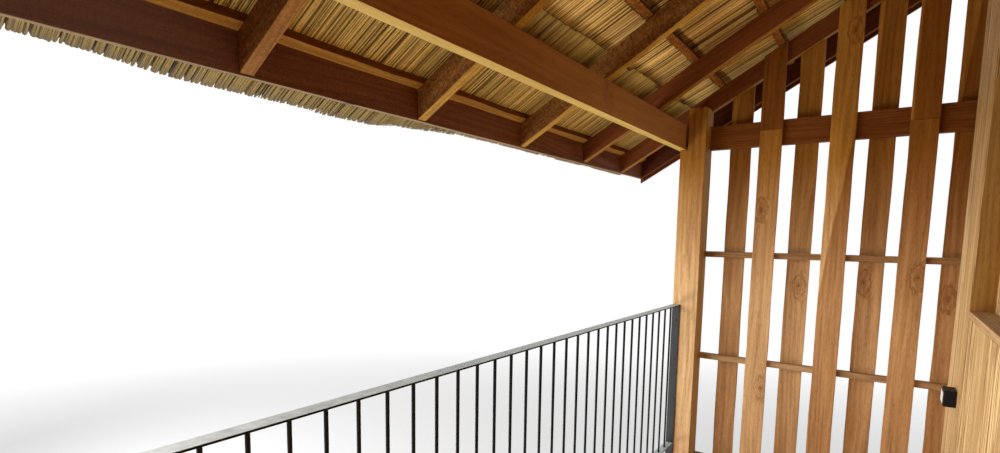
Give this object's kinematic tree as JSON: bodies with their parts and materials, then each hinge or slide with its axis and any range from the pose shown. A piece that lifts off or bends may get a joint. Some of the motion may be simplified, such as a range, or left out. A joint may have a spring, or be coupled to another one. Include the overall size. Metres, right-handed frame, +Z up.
{
  "type": "stilt house veranda",
  "caption": "Thatched lean-to veranda of a stilt house with a railed deck on stilts, a slatted timber screen at one end and a board wall with a window behind.",
  "frame": {"origin": "on the ground under the middle of the roof's plan", "axes": "+X along the veranda from the slatted screen to the open end, +Y from the railed front to the house wall, +Z up"},
  "size_m": [5.2, 2.6282, 5.2498],
  "materials": {
    "teak": "oiled golden-brown hardwood with straight grain and knots",
    "dark_timber": "red-brown stained roof timber",
    "wall_boards": "clear-varnished straw-gold boards",
    "thatch": "dry golden thatch in thin strips",
    "railing_steel": "black paint, satin",
    "lamp_case": "black",
    "lamp_lens": "opal white",
    "window_glass": "clear"
  },
  "bodies": {
    "root": {"corner_post": "teak", "far_post": "teak", "mid_stilt": "teak", "rear_stilts": "teak", "floor_bearers": "dark_timber", "rim_joist": "dark_timber", "joists": "dark_timber", "deck": "teak", "eave_beam": "dark_timber", "wall_plate": "dark_timber", "end_rafters": "dark_timber", "rafters": "dark_timber", "fly_rafters": "dark_timber", "barge_boards": "dark_timber", "fascia_board": "dark_timber", "purlins": "dark_timber", "thatch_course_1": "thatch", "thatch_course_2": "thatch", "thatch_course_3": "thatch", "thatch_course_4": "thatch", "thatch_course_5": "thatch", "thatch_course_6": "thatch", "thatch_course_7": "thatch", "screen_foot_rail": "teak", "screen_low_rail": "teak", "screen_mid_rail": "teak", "screen_top_rail": "teak", "front_slats": "teak", "back_slats": "teak", "handrail": "railing_steel", "bottom_rail": "railing_steel", "balusters": "railing_steel", "rail_plates": "railing_steel", "wall": "wall_boards", "wall_corners": "wall_boards", "window_sill": "dark_timber", "window_frame": "wall_boards", "window_glass": "window_glass", "wall_lamp": "lamp_case", "lamp_lens": "lamp_lens"}
  },
  "joints": []
}
